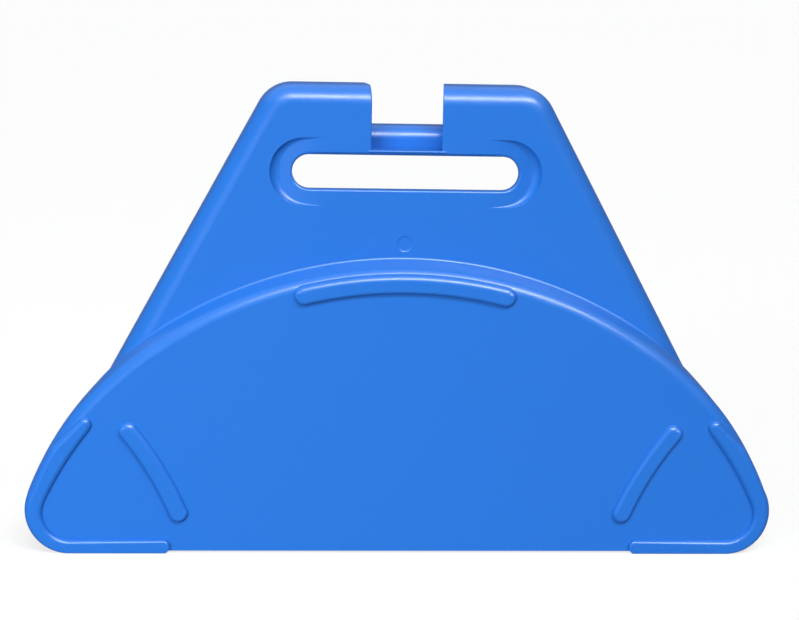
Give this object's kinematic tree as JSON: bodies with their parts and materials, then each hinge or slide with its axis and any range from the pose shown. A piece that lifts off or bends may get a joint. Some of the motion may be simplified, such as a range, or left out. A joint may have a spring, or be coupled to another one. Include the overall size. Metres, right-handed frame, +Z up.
{
  "type": "pool cleaner side panel",
  "caption": "Moulded side panel of a tracked pool cleaner with carry slot, top notch, half-moon dome, wear strips, shaft bushes and turning guide wheels.",
  "frame": {"origin": "middle of the bottom edge, half-way through the depth", "axes": "+X along the machine, +Y towards the chassis, so the outer face looks towards -Y, +Z up"},
  "size_m": [0.395, 0.048, 0.246],
  "materials": {
    "panel_blue": "moulded, fine spark-eroded grain, light gloss",
    "strip_blue": "moulded, slightly softer and duller than the panel",
    "bush_acetal": "machined acetal",
    "pin_steel": "ground stainless",
    "wheel_acetal": "moulded acetal",
    "sleeve_black": "graphite-filled, satin",
    "washer_nylon": "natural nylon",
    "clip_steel": "spring stainless",
    "insert_brass": "machined, knurled",
    "foam_grey": "closed-cell foam, cut faces"
  },
  "bodies": {
    "panel": {"side_panel": "panel_blue", "crown_wear_strip": "strip_blue", "left_corner_wear_strip": "strip_blue", "right_corner_wear_strip": "strip_blue", "left_inner_wear_strip": "strip_blue", "right_inner_wear_strip": "strip_blue", "left_roller_bush": "bush_acetal", "right_roller_bush": "bush_acetal", "drive_shaft_bush": "bush_acetal", "left_guide_pin": "pin_steel", "right_guide_pin": "pin_steel", "thrust_washers": "washer_nylon", "pin_clips": "clip_steel", "upper_chassis_inserts": "insert_brass", "lower_chassis_inserts": "insert_brass", "left_float_block": "foam_grey", "right_float_block": "foam_grey"},
    "left_wheel": {"left_guide_wheel": "wheel_acetal", "left_guide_bush": "sleeve_black"},
    "right_wheel": {"right_guide_wheel": "wheel_acetal", "right_guide_bush": "sleeve_black"}
  },
  "joints": [
    {"name": "left_guide_spin", "type": "hinge", "parent": "panel", "child": "left_wheel", "pos_m": [-0.09, 0.00825, 0.095], "axis": [0, 1, 0], "continuous": true},
    {"name": "right_guide_spin", "type": "hinge", "parent": "panel", "child": "right_wheel", "pos_m": [0.09, 0.00825, 0.095], "axis": [0, 1, 0], "continuous": true}
  ]
}
